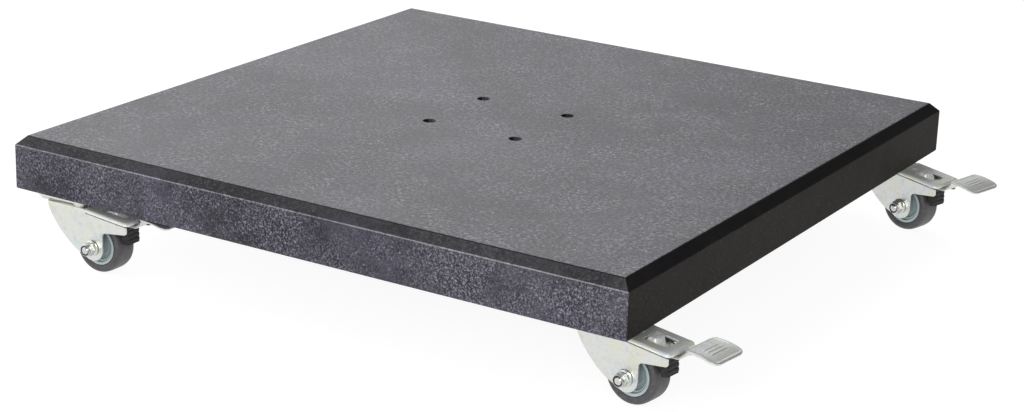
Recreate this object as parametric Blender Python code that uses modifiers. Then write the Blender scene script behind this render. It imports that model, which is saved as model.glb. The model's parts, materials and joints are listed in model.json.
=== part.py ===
"""Granite parasol base slab on four braked swivel castors.

Metres, +Z up.  The origin is the middle of the slab's top face, so everything else hangs below it.
A castor is modelled once, in its own frame: origin on the swivel axis at the slab's underside,
+X towards the brake pedal, Y along the axle.  Four copies then stand at the corners.
"""
import math

import bmesh
import bpy
from mathutils import Matrix, Vector

# ---- driving dimensions -------------------------------------------------------------------------
MM = 0.001
FIT = 0.3 * MM              # gap between pieces that touch

SLAB_SIDE = 750 * MM
SLAB_THICK = 59 * MM
SLAB_CHAMFER = 10 * MM

BOLT_PITCH = 112 * MM       # the parasol's foot bolts through a square of four holes
BOLT_HOLE_R = 7 * MM
INSERT_R = 9 * MM
INSERT_BORE_R = 6.2 * MM
INSERT_DEPTH = 12 * MM      # stone left above each insert
INSERT_FLANGE_R = 14 * MM
INSERT_FLANGE_T = 2.5 * MM

CASTOR_RUN = 326 * MM       # middle of the slab to a swivel axis, both ways, give or take
CASTOR_HEIGHT = 82 * MM     # slab underside to floor
CASTOR_TRAIL = 37 * MM      # swivel axis to axle

WHEEL_R = 30.2 * MM
TYRE_WIDTH = 27 * MM
HUB_R = 21.4 * MM
HUB_BOSS_WIDTH = 36 * MM
SLEEVE_R = 6 * MM
AXLE_R = 4 * MM

FORK_WIDTH = 43 * MM        # over the cheeks
SHEET = 2.5 * MM            # pressed steel of the fork and pedal
CROWN_Z = -9 * MM           # top of the fork's crown
BOSS_R = 14.5 * MM

PLATE_SIDE = 62 * MM
PLATE_HOLE_PITCH = 46 * MM
PLATE_HOLE_R = 4.3 * MM
KINGPIN_R = 6 * MM
RACE_R = 20 * MM

COVER_WIDTH = 46 * MM
COVER_SHEET = 2 * MM
WINDOW = (48 * MM, 75 * MM, 11.5 * MM)      # start, end along the castor, and half width

PEDAL_PIN = (60 * MM, -25 * MM)             # pivot of the brake pedal, along and down
PEDAL_PIN_R = 2.5 * MM
PIN_SEAT = 1.8 * MM                         # how far the pin reaches into each cheek
SHOE_GAP = 3 * MM                           # brake shoe to tread when off
SHOE_WIDTH = 18 * MM

ROUND = 24                  # sides of the wheel
SMALL_ROUND = 16            # sides of bores and flanges
ROD_ROUND = 12              # sides of pins and rods

# Where each castor is screwed on, and the way it happens to point, in degrees from +X.
CASTORS = {
    "front_right": (CASTOR_RUN - 4 * MM, -CASTOR_RUN + 13 * MM, -7),
    "rear_right": (CASTOR_RUN + 7 * MM, CASTOR_RUN + 6 * MM, -14),
    "front_left": (-CASTOR_RUN + 8 * MM, -CASTOR_RUN - 15 * MM, 0),
    "rear_left": (-CASTOR_RUN, CASTOR_RUN, -4),
}
AXLE = Vector((CASTOR_TRAIL, 0, WHEEL_R - CASTOR_HEIGHT))
PIN = Vector((PEDAL_PIN[0], 0, PEDAL_PIN[1]))

# ---- scene --------------------------------------------------------------------------------------
for old in list(bpy.data.objects):
    bpy.data.objects.remove(old, do_unlink=True)
parts = bpy.data.collections.new("granite_parasol_base")
cutters = bpy.data.collections.new("cutters")
for group in (parts, cutters):
    bpy.context.scene.collection.children.link(group)


def material(name, colour, roughness, metallic=0.0):
    """A Principled material, made once and shared by like pieces."""
    if name in bpy.data.materials:
        return bpy.data.materials[name]
    made = bpy.data.materials.new(name)
    made.use_nodes = True
    shader = made.node_tree.nodes["Principled BSDF"]
    shader.inputs["Base Color"].default_value = (*colour, 1)
    shader.inputs["Roughness"].default_value = roughness
    shader.inputs["Metallic"].default_value = metallic
    return made


# ---- shaping tools ------------------------------------------------------------------------------
def arc(centre, radius, start, end, steps):
    """Points of an arc, in degrees anticlockwise, ends included."""
    angles = [math.radians(start + (end - start) * i / steps) for i in range(steps + 1)]
    return [(centre[0] + radius * math.cos(a), centre[1] + radius * math.sin(a)) for a in angles]


def box(name, low, high):
    """A cuboid between two corners."""
    low, high = Vector(low), Vector(high)
    bpy.ops.mesh.primitive_cube_add(size=1, location=(low + high) / 2)
    cube = bpy.context.object
    cube.name = name
    cube.data.transform(Matrix.Diagonal((*(high - low), 1)))
    return cube


def cylinder(name, radius, start, end, sides=ROD_ROUND):
    """A cylinder between two points."""
    start, end = Vector(start), Vector(end)
    run = end - start
    bpy.ops.mesh.primitive_cylinder_add(vertices=sides, radius=radius, depth=run.length)
    rod = bpy.context.object
    rod.name = name
    turn = Vector((0, 0, 1)).rotation_difference(run)
    rod.matrix_world = Matrix.Translation((start + end) / 2) @ turn.to_matrix().to_4x4()
    return rod


def flat_piece(name, outline, half_width):
    """A side outline, given along X and Z, extruded both ways across Y."""
    curve = bpy.data.curves.new(name, "CURVE")
    curve.dimensions = "2D"
    curve.fill_mode = "BOTH"
    curve.extrude = half_width
    spline = curve.splines.new("POLY")
    spline.points.add(len(outline) - 1)
    for point, (along, up) in zip(spline.points, outline):
        point.co = (along, up, 0, 1)
    spline.use_cyclic_u = True
    drawn = bpy.data.objects.new(name, curve)
    drawn.rotation_euler = (math.pi / 2, 0, 0)
    bpy.context.scene.collection.objects.link(drawn)
    bpy.context.view_layer.update()
    graph = bpy.context.evaluated_depsgraph_get()
    mesh = bpy.data.meshes.new_from_object(drawn.evaluated_get(graph))
    shape = bmesh.new()
    shape.from_mesh(mesh)
    bmesh.ops.remove_doubles(shape, verts=shape.verts, dist=0.001 * MM)
    bmesh.ops.dissolve_limit(shape, angle_limit=math.radians(0.5), verts=shape.verts, edges=shape.edges)
    shape.to_mesh(mesh)
    shape.free()
    solid = bpy.data.objects.new(name, mesh)
    bpy.context.scene.collection.objects.link(solid)
    solid.matrix_world = drawn.matrix_world
    bpy.data.objects.remove(drawn, do_unlink=True)
    bpy.data.curves.remove(curve)
    return solid


def turned(name, profile, sides):
    """A closed section of (radius, height) points, spun round Z with a Screw modifier."""
    mesh = bpy.data.meshes.new(name)
    count = len(profile)
    edges = [(i, (i + 1) % count) for i in range(count)]
    mesh.from_pydata([(radius, 0, up) for radius, up in profile], edges, [])
    ring = bpy.data.objects.new(name, mesh)
    bpy.context.scene.collection.objects.link(ring)
    screw = ring.modifiers.new("Screw", "SCREW")
    screw.steps = sides
    screw.render_steps = sides
    screw.use_merge_vertices = True
    screw.merge_threshold = 0.01 * MM
    return ring


def lay_on_axle(piece):
    """Turn a piece made round Z so that its axis lies along Y; its top then faces -Y."""
    piece.matrix_world = Matrix.Rotation(math.pi / 2, 4, "X") @ piece.matrix_world
    return piece


def combine(piece, tool, operation="DIFFERENCE"):
    """Cut a piece with a tool, or join the tool to it; the tool is kept as a hidden guide."""
    step = piece.modifiers.new(operation.title(), "BOOLEAN")
    step.operation = operation
    step.solver = "EXACT"
    step.object = tool
    for group in list(tool.users_collection):
        group.objects.unlink(tool)
    cutters.objects.link(tool)
    tool.hide_render = True
    tool.display_type = "WIRE"
    return piece


def bevel(piece, width, segments, picked):
    """Round the edges of a plain mesh for which picked(first, second) is true."""
    shape = bmesh.new()
    shape.from_mesh(piece.data)
    world = piece.matrix_world
    edges = [e for e in shape.edges if picked(world @ e.verts[0].co, world @ e.verts[1].co)]
    bmesh.ops.bevel(
        shape, geom=edges, offset=width, segments=segments, profile=0.5, affect="EDGES", material=-1)
    shape.to_mesh(piece.data)
    shape.free()
    return piece


def finished_mesh(piece, origin=(0, 0, 0)):
    """The evaluated mesh of a piece in its castor's frame, moved so that origin becomes zero."""
    bpy.context.view_layer.update()
    graph = bpy.context.evaluated_depsgraph_get()
    mesh = bpy.data.meshes.new_from_object(piece.evaluated_get(graph))
    mesh.transform(Matrix.Translation(-Vector(origin)) @ piece.matrix_world)
    mesh.name = piece.name
    bpy.data.objects.remove(piece, do_unlink=True)
    return mesh


def place(name, mesh, look, parent=None, location=(0, 0, 0), sharp=30):
    """One named node of the object, with its material and shading."""
    if not mesh.materials:
        mesh.materials.append(look)
        mesh.shade_smooth()
        mesh.set_sharp_from_angle(angle=math.radians(sharp))
    node = bpy.data.objects.new(name, mesh)
    node.location = location
    node.parent = parent
    parts.objects.link(node)
    return node


def guide(name, location, yaw=0.0, parent=None):
    """An empty that marks a joint's axis."""
    empty = bpy.data.objects.new(name, None)
    empty.location = location
    empty.rotation_euler = (0, 0, math.radians(yaw))
    empty.empty_display_size = 20 * MM
    empty.parent = parent
    parts.objects.link(empty)
    return empty


# ---- slab ---------------------------------------------------------------------------------------
GRANITE = material("granite", (0.12, 0.115, 0.13), 0.55)
ZINC = material("zinc_plated_steel", (0.72, 0.74, 0.70), 0.32, 1.0)
STEEL = material("plain_steel", (0.50, 0.50, 0.50), 0.40, 1.0)
HUB_PLASTIC = material("hub_plastic", (0.46, 0.53, 0.54), 0.45)
TREAD = material("tread_polyurethane", (0.09, 0.085, 0.09), 0.50)
BLACK_RUBBER = material("brake_rubber", (0.02, 0.02, 0.02), 0.70)


def bolt_points():
    """Centres of the four bolt holes, square to the slab."""
    half = BOLT_PITCH / 2
    return [(-half, -half), (half, -half), (half, half), (-half, half)]


def make_slab():
    """A square slab with a wide chamfer round its top and four stepped holes."""
    half = SLAB_SIDE / 2
    slab = box("slab", (-half, -half, -SLAB_THICK), (half, half, 0))
    bevel(slab, SLAB_CHAMFER, 1, lambda a, b: a.z > -MM and b.z > -MM)
    bevel(slab, 1 * MM, 1, lambda a, b: a.z < MM - SLAB_THICK and b.z < MM - SLAB_THICK)
    for along, across in bolt_points():
        steps = (
            (BOLT_HOLE_R, 0),
            (INSERT_R + FIT, INSERT_DEPTH),
            (INSERT_FLANGE_R + FIT, SLAB_THICK - INSERT_FLANGE_T - 1 * MM),
        )
        for radius, depth in steps:
            top = 10 * MM if depth == 0 else -depth
            combine(slab, cylinder(
                "hole", radius, (along, across, top), (along, across, -SLAB_THICK - 10 * MM),
                SMALL_ROUND))
    return finished_mesh(slab)


def make_insert():
    """A flanged steel bush that the parasol's bolt passes through or screws into."""
    top = -INSERT_DEPTH - FIT
    foot = -SLAB_THICK + 0.5 * MM
    flange_top = foot + INSERT_FLANGE_T
    return finished_mesh(turned("insert", [
        (INSERT_BORE_R, top), (INSERT_R, top), (INSERT_R, flange_top),
        (INSERT_FLANGE_R, flange_top), (INSERT_FLANGE_R, foot), (INSERT_BORE_R, foot),
    ], SMALL_ROUND))


# ---- castor head --------------------------------------------------------------------------------
def make_top_plate():
    """The square plate that is screwed to the stone."""
    half = PLATE_SIDE / 2
    top = -FIT
    plate = box("top_plate", (-half, -half, top - SHEET), (half, half, top))
    bevel(plate, 6 * MM, 2, lambda a, b: abs(a.z - b.z) > MM)
    for along in (-PLATE_HOLE_PITCH / 2, PLATE_HOLE_PITCH / 2):
        for across in (-PLATE_HOLE_PITCH / 2, PLATE_HOLE_PITCH / 2):
            combine(plate, cylinder(
                "plate_hole", PLATE_HOLE_R, (along, across, 5 * MM), (along, across, -8 * MM)))
    combine(plate, cylinder("king_hole", KINGPIN_R + FIT, (0, 0, 5 * MM), (0, 0, -8 * MM)))
    return finished_mesh(plate)


def make_bearing():
    """The swivel race: a closed ring round the ball track."""
    top = -SHEET - 2 * FIT
    foot = CROWN_Z + FIT
    inner = KINGPIN_R + FIT
    return finished_mesh(turned("swivel_bearing", [
        (inner, top), (RACE_R - 1.5 * MM, top), (RACE_R, (top + foot) / 2),
        (RACE_R - 1.5 * MM, foot), (inner, foot),
    ], SMALL_ROUND))


def make_kingpin():
    """The rivet that the fork swivels round, headed below the crown."""
    top = -FIT - 0.5 * MM
    head_top = CROWN_Z - SHEET - FIT
    return finished_mesh(turned("kingpin", [
        (0, top), (KINGPIN_R, top), (KINGPIN_R, head_top), (9 * MM, head_top),
        (9 * MM, head_top - 1.5 * MM), (6.5 * MM, head_top - 3.5 * MM), (0, head_top - 3.5 * MM),
    ], ROD_ROUND))


# ---- fork ---------------------------------------------------------------------------------------
CHEEK_TOP = [(84 * MM, -19.5 * MM), (28 * MM, -14.25 * MM), (26 * MM, CROWN_Z)]


def fork_outline():
    """Side view of the fork: crown, sloping back, round axle boss, wheel notch and front arm."""
    boss = (AXLE.x, AXLE.z)
    back = [(-25, -9), (-22.5, -18), (-17.5, -27), (-9, -38), (2, -48.5), (14, -57.5)]
    outline = [(along * MM, up * MM) for along, up in back]
    outline += arc(boss, BOSS_R, 228, 360, 8)
    outline += arc((boss[0] + BOSS_R + 4.5 * MM, -36.5 * MM), 4.5 * MM, 180, 96, 4)
    outline += [(82.5 * MM, -28.4 * MM), (84 * MM, -27 * MM)]
    return outline + CHEEK_TOP


def make_fork():
    """A pressed fork: two cheeks joined by the crown over the wheel."""
    half = FORK_WIDTH / 2
    crown_front = 26 * MM
    fork = flat_piece("fork", fork_outline(), half)
    bevel(fork, 4 * MM, 2, lambda a, b: (
        abs(a.y - b.y) < MM and abs(a.x - b.x) > 5 * MM
        and min(a.z, b.z) > CROWN_Z - MM))
    inner = half - SHEET
    combine(fork, box("wheel_space", (-60 * MM, -inner, -0.12), (0.12, inner, CROWN_Z - SHEET)))
    combine(fork, box("open_front", (crown_front, -inner, -0.05), (0.12, inner, 0)))
    combine(fork, cylinder("king_hole", KINGPIN_R + FIT, (0, 0, 0), (0, 0, -20 * MM)))
    across = Vector((0, 40 * MM, 0))
    combine(fork, cylinder("axle_hole", AXLE_R + FIT, AXLE - across, AXLE + across))
    seat = Vector((0, inner + PIN_SEAT, 0))
    combine(fork, cylinder("pin_seat", PEDAL_PIN_R + FIT, PIN - seat, PIN + seat))
    return finished_mesh(fork)


def make_cover():
    """The brake cover: a folded lid over the front arms, with a window and a round hole."""
    half = COVER_WIDTH / 2
    rear, front = 28.2 * MM, 86.5 * MM
    top_rear, top_front = -9.2 * MM, -14.6 * MM
    outline = [
        (rear, top_rear), (rear, -13.7 * MM), (front, -19.1 * MM), (front, top_front)]
    cover = flat_piece("cover", outline, half)
    bevel(cover, 3 * MM, 3, lambda a, b: (
        abs(a.y - b.y) < MM and abs(a.x - b.x) > 20 * MM and max(a.z, b.z) > -10 * MM))
    inner = half - COVER_SHEET
    hollow = [
        (rear - 10 * MM, top_rear - COVER_SHEET + 0.9 * MM), (rear - 10 * MM, -60 * MM),
        (front - COVER_SHEET, -60 * MM), (front - COVER_SHEET, top_front - COVER_SHEET)]
    combine(cover, flat_piece("cover_space", hollow, inner))
    start, end, side = WINDOW
    combine(cover, box("window", (start, -side, -16 * MM), (end, side, 0)))
    combine(cover, cylinder("round_hole", 3 * MM, (38 * MM, 0, 0), (38 * MM, 0, -16 * MM)))
    return finished_mesh(cover)


# ---- brake --------------------------------------------------------------------------------------
def pedal_line(along):
    """Height of the pedal sheet's middle: a lever under the cover, a rise, then the toe."""
    rise = min(max((along - 86 * MM) / (20 * MM), 0), 1)
    climb = rise * rise * (3 - 2 * rise)
    toe = max(along - 110 * MM, 0)
    return -22 * MM + 16.5 * MM * climb - toe * toe / (160 * MM)


def pedal_half_width(along):
    """The lever is narrow where it leaves the cover and flares to the toe."""
    flare = min(max((along - 93 * MM) / (16 * MM), 0), 1)
    corner = max((along - 131 * MM) / (9 * MM), 0)
    rounding = 8 * MM * (1 - math.sqrt(max(1 - corner * corner, 0)))
    return 10 * MM + 15 * MM * flare * flare * (3 - 2 * flare) - rounding


def make_pedal():
    """The brake pedal: one pressed sheet with a barrel round its pin and a raised rocker."""
    rear, front = 55 * MM, 140 * MM
    columns, rows = 14, 2
    shape = bmesh.new()
    bmesh.ops.create_grid(shape, x_segments=columns, y_segments=rows, size=0.5)
    for vert in shape.verts:
        along = rear + (vert.co.x + 0.5) * (front - rear)
        vert.co = (along, 2 * vert.co.y * pedal_half_width(along), pedal_line(along))
    mesh = bpy.data.meshes.new("pedal")
    shape.to_mesh(mesh)
    shape.free()
    pedal = bpy.data.objects.new("pedal", mesh)
    bpy.context.scene.collection.objects.link(pedal)
    wall = pedal.modifiers.new("Solidify", "SOLIDIFY")
    wall.thickness = 2.2 * MM
    wall.offset = 0
    half = Vector((0, 17.5 * MM, 0))
    combine(pedal, cylinder("barrel", 4.5 * MM, PIN - half, PIN + half), "UNION")
    rocker = box("rocker", (50 * MM, -10 * MM, -22 * MM), (69 * MM, 10 * MM, -10.5 * MM))
    bevel(rocker, 3 * MM, 2, lambda a, b: max(a.z, b.z) > -11 * MM)
    combine(pedal, rocker, "UNION")
    combine(pedal, cylinder("pin_hole", PEDAL_PIN_R + FIT, PIN - 2 * half, PIN + 2 * half))
    return finished_mesh(pedal, PIN)


def make_shoe():
    """The brake block, hollowed to the tread that it presses on."""
    outline = [(66 * MM, -23.6 * MM), (76.5 * MM, -23.6 * MM), (77.5 * MM, -44 * MM), (70 * MM, -45.5 * MM)]
    outline += arc((AXLE.x, AXLE.z), WHEEL_R + SHOE_GAP, 14, 30, 4)
    return finished_mesh(flat_piece("shoe", outline, SHOE_WIDTH / 2), PIN)


def make_pin():
    """The pin that the pedal rocks on, seated blind in both cheeks."""
    half = FORK_WIDTH / 2 - SHEET + PIN_SEAT - FIT
    return finished_mesh(lay_on_axle(turned("pin", [
        (0, half), (PEDAL_PIN_R - 0.6 * MM, half), (PEDAL_PIN_R, half - 0.6 * MM),
        (PEDAL_PIN_R, 0.6 * MM - half), (PEDAL_PIN_R - 0.6 * MM, -half), (0, -half),
    ], ROD_ROUND)))


# ---- wheel and axle -----------------------------------------------------------------------------
def mirrored(section):
    """A wheel section given from bore to rim on its near side, closed with its far side."""
    return section + [(radius, -up) for radius, up in reversed(section)]


def make_hub():
    """The moulded hub: a long boss, a sunk web and a rim that carries the tyre."""
    boss = HUB_BOSS_WIDTH / 2
    rim = TYRE_WIDTH / 2 - 1.2 * MM
    return finished_mesh(lay_on_axle(turned("hub", mirrored([
        (SLEEVE_R + FIT, boss), (9.5 * MM, boss), (10.5 * MM, 9 * MM),
        (17.5 * MM, 9 * MM), (18 * MM, rim), (HUB_R, rim),
    ]), ROUND)))


def make_tyre():
    """The cast tread, gently crowned, with round shoulders."""
    half = TYRE_WIDTH / 2
    return finished_mesh(lay_on_axle(turned("tyre", mirrored([
        (HUB_R + FIT, half - 1.2 * MM), (26.5 * MM, half),
        (29.3 * MM, half - 1.8 * MM), (WHEEL_R, half - 6.5 * MM),
    ]), ROUND)))


def make_sleeve():
    """The steel spacer that the hub turns on, clamped between the cheeks."""
    half = FORK_WIDTH / 2 - SHEET - FIT
    return finished_mesh(lay_on_axle(turned("sleeve", [
        (AXLE_R + FIT, half), (SLEEVE_R, half), (SLEEVE_R, -half), (AXLE_R + FIT, -half),
    ], ROD_ROUND)))


def make_axle_bolt():
    """A hexagon bolt, its head against the far cheek and its end proud of the nut."""
    cheek = FORK_WIDTH / 2 + FIT
    bolt = lay_on_axle(turned("axle_bolt", [
        (0, cheek + 12.4 * MM), (AXLE_R - 0.8 * MM, cheek + 12.4 * MM), (AXLE_R, cheek + 11.6 * MM),
        (AXLE_R, -cheek - 2 * MM), (0, -cheek - 2 * MM),
    ], ROD_ROUND))
    head = cylinder("bolt_head", 7.5 * MM, (0, cheek, 0), (0, cheek + 5.3 * MM, 0), 6)
    combine(bolt, head, "UNION")
    return finished_mesh(bolt)


def make_axle_nut():
    """A flanged lock nut: round flange, hexagon and round collar."""
    cheek = FORK_WIDTH / 2 + FIT
    nut = lay_on_axle(turned("axle_nut", [
        (AXLE_R + FIT, cheek + 11.4 * MM), (5.4 * MM, cheek + 11.4 * MM), (6 * MM, cheek + 10.6 * MM),
        (6 * MM, cheek + 1.6 * MM), (8.8 * MM, cheek + 1.6 * MM), (8.8 * MM, cheek),
        (AXLE_R + FIT, cheek),
    ], ROD_ROUND))
    body = cylinder("nut_body", 7.5 * MM, (0, -cheek - MM, 0), (0, -cheek - 8.6 * MM, 0), 6)
    bore = cylinder("nut_bore", 5 * MM, (0, 0, 0), (0, -50 * MM, 0))
    combine(body, bore)
    combine(nut, body, "UNION")
    return finished_mesh(nut)


# ---- assembly -----------------------------------------------------------------------------------
place("slab", make_slab(), GRANITE)
insert_mesh = make_insert()
for number, (along, across) in enumerate(bolt_points(), 1):
    place(f"bolt_insert_{number}", insert_mesh, STEEL, location=(along, across, 0))

head_meshes = {
    "top_plate": (make_top_plate(), ZINC),
    "swivel_bearing": (make_bearing(), ZINC),
    "kingpin": (make_kingpin(), STEEL),
}
fork_meshes = {
    "fork": (make_fork(), ZINC),
    "brake_cover": (make_cover(), ZINC),
}
axle_meshes = {
    "axle_sleeve": (make_sleeve(), STEEL),
    "axle_bolt": (make_axle_bolt(), ZINC),
    "axle_nut": (make_axle_nut(), ZINC),
}
wheel_meshes = {
    "wheel_hub": (make_hub(), HUB_PLASTIC),
    "wheel_tyre": (make_tyre(), TREAD),
}
brake_meshes = {
    "brake_pedal": (make_pedal(), ZINC),
    "brake_shoe": (make_shoe(), BLACK_RUBBER),
}
pin_mesh = make_pin()

for corner, (along, across, yaw) in CASTORS.items():
    head = guide(f"{corner}_head", (along, across, -SLAB_THICK))
    swivel = guide(f"{corner}_swivel", (along, across, -SLAB_THICK), yaw)
    axle = guide(f"{corner}_axle", AXLE, parent=swivel)
    pivot = guide(f"{corner}_pedal_pivot", PIN, parent=swivel)
    owners = ((head, head_meshes), (swivel, fork_meshes), (axle, axle_meshes),
              (axle, wheel_meshes), (pivot, brake_meshes))
    for owner, meshes in owners:
        for piece, (mesh, look) in meshes.items():
            place(f"{corner}_{piece}", mesh, look, owner)
    place(f"{corner}_pedal_pin", pin_mesh, STEEL, pivot)
bpy.context.view_layer.update()
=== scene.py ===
import json
import math

import bmesh
import bpy
from mathutils import Matrix, Vector


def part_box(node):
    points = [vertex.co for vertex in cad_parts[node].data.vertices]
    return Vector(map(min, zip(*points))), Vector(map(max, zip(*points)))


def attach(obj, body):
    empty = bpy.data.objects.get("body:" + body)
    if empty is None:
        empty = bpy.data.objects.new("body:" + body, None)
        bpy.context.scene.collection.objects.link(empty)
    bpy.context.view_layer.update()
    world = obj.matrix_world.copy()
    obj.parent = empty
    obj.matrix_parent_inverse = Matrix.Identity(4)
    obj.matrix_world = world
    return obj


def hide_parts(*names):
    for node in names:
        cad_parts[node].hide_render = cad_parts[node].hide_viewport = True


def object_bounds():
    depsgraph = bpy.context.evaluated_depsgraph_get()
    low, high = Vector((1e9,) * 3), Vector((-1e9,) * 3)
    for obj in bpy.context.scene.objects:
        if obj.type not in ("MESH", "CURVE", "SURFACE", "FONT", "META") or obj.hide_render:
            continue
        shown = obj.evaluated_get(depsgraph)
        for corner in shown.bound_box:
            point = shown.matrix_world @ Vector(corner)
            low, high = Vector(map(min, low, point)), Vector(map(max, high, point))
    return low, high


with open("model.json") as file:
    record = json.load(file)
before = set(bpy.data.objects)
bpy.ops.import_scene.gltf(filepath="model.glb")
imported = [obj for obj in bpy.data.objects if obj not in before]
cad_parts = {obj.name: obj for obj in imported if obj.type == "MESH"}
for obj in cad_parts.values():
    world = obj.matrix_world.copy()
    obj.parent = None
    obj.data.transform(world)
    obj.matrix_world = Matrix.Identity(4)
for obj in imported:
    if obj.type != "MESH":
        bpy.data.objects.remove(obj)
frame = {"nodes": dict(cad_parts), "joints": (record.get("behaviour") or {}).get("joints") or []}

cad_low, cad_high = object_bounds()


# ---- Granite slab -------------------------------------------------------------------------------
# One square of dark, fine-grained granite, sawn to size, with a honed top and a ground chamfer.
# Four holes are core-drilled for the parasol's foot, and opened out from below for steel bushes.
MM = 0.001
STONE_LOW, STONE_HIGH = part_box("slab")
STONE_SIDE = STONE_HIGH.x - STONE_LOW.x
STONE_THICK = STONE_HIGH.z - STONE_LOW.z
STONE_CHAMFER = 10 * MM
STONE_FOOT_ARRIS = 1 * MM
STONE_SOFT_EDGE = 0.7 * MM
STONE_RIM = 1.3 * MM
BUSHES = [f"bolt_insert_{number}" for number in (1, 2, 3, 4)]


def plug(tree, socket, value):
    """Give a shader socket another node's output, or a plain value."""
    if isinstance(value, bpy.types.NodeSocket):
        tree.links.new(value, socket)
    elif isinstance(value, tuple) and len(value) == 3 and len(socket.default_value) == 4:
        socket.default_value = (*value, 1)
    else:
        socket.default_value = value


def add(tree, kind, inputs, **settings):
    """One shader node with its settings and inputs."""
    made = tree.nodes.new("ShaderNode" + kind)
    for name, value in settings.items():
        setattr(made, name, value)
    for name, value in inputs.items():
        plug(tree, made.inputs[name], value)
    return made


def coordinates(tree):
    """The piece's own coordinates, which stay with it as it moves."""
    found = tree.nodes.get("Texture Coordinate") or tree.nodes.new("ShaderNodeTexCoord")
    return found.outputs["Object"]


def noise(tree, size, detail=3.0, roughness=0.5, twist=0.0):
    """Soft random blotches, about one size across."""
    made = add(tree, "TexNoise", {
        "Vector": coordinates(tree), "Scale": 1 / size, "Detail": detail,
        "Roughness": roughness, "Distortion": twist})
    return made.outputs["Fac"]


def between(tree, value, low, high, to_low=0.0, to_high=1.0):
    """A value's range carried over to another range, held at both ends."""
    made = add(tree, "MapRange", {
        "Value": value, "From Min": low, "From Max": high, "To Min": to_low, "To Max": to_high})
    return made.outputs["Result"]


def sums(tree, how, first, second):
    """Two values added, multiplied or compared."""
    return add(tree, "Math", {0: first, 1: second}, operation=how).outputs["Value"]


def mixed(tree, share, first, second, how="MIX"):
    """Two colours mixed by a share."""
    made = add(tree, "Mix", {0: share, 6: first, 7: second}, data_type="RGBA", blend_type=how)
    return made.outputs[2]


def bumped(tree, height, depth, under=None):
    """Relief of a given depth, laid over another relief if there is one."""
    made = add(tree, "Bump", {"Height": height, "Distance": depth, "Strength": 1.0})
    if under is not None:
        tree.links.new(under, made.inputs["Normal"])
    return made.outputs["Normal"]


def finish(name, gloss=0.5, metal=0.0):
    """A new material with its node tree and its shader."""
    made = bpy.data.materials.new(name)
    made.use_nodes = True
    shader = made.node_tree.nodes["Principled BSDF"]
    shader.inputs["Specular IOR Level"].default_value = gloss
    shader.inputs["Metallic"].default_value = metal
    return made, made.node_tree, shader


def granite(name, dark, light, fleck, crystal, cover, grain, rough, gloss, relief, dots=0.5):
    """Granite: slow clouds, mottling, a felt of small crystals and a few larger bright ones.

    crystal is the size of a crystal, cover how much of the stone the bright ones take up, grain how
    much the felt shows against the mottling, and dots how strong the largest ones are.
    """
    made, tree, shader = finish(name, gloss)
    clouds = noise(tree, 190 * MM, 4.0, 0.6, 0.5)
    mottle = noise(tree, 24 * MM, 6.0, 0.68, 0.3)
    felt = noise(tree, crystal, 4.0, 0.70, 0.8)
    depth = sums(tree, "ADD", sums(tree, "MULTIPLY", clouds, 0.45), sums(tree, "MULTIPLY", mottle, 0.55))
    depth = sums(tree, "ADD", sums(tree, "MULTIPLY", depth, 1 - grain), sums(tree, "MULTIPLY", felt, grain))
    ground = mixed(tree, between(tree, depth, 0.43, 0.57), dark, light)
    hue = between(tree, noise(tree, 85 * MM, 3.0, 0.55, 0.4), 0.42, 0.60)
    ground = mixed(tree, 1.0, ground, mixed(tree, hue, (0.99, 0.985, 0.94), (1.0, 0.985, 1.05)), "MULTIPLY")
    shade = between(tree, noise(tree, 150 * MM, 3.0, 0.5, 0.3), 0.36, 0.64, 0.84, 1.14)
    tone = add(tree, "CombineColor", {"Red": shade, "Green": shade, "Blue": shade}).outputs["Color"]
    ground = mixed(tree, 1.0, ground, tone, "MULTIPLY")
    patches = between(tree, noise(tree, 57 * MM, 3.0, 0.6, 0.5), 0.38, 0.62, 0.12, 1.0)
    crystals = between(tree, felt, 0.55 - 0.05 * cover, 0.67 - 0.05 * cover)
    share = sums(tree, "MULTIPLY", crystals, sums(tree, "MULTIPLY", patches, cover))
    surface = mixed(tree, share, ground, fleck)
    cells = add(tree, "TexVoronoi", {
        "Vector": coordinates(tree), "Scale": 1 / (1.3 * crystal), "Randomness": 1.0})
    lucky = add(tree, "SeparateColor", {"Color": cells.outputs["Color"]}).outputs["Red"]
    bright = sums(
        tree, "MULTIPLY", between(tree, lucky, 0.93 - 0.05 * cover, 0.97),
        between(tree, cells.outputs["Distance"], 0.42, 0.20))
    surface = mixed(tree, sums(tree, "MULTIPLY", bright, dots), surface, tuple(1.25 * c for c in fleck))
    plug(tree, shader.inputs["Base Color"], surface)
    plug(tree, shader.inputs["Roughness"], between(
        tree, sums(tree, "ADD", mottle, felt), 0.7, 1.3, rough - 0.07, rough + 0.07))
    plug(tree, shader.inputs["Normal"], bumped(tree, felt, relief, bumped(tree, mottle, 2 * relief)))
    return made


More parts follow.
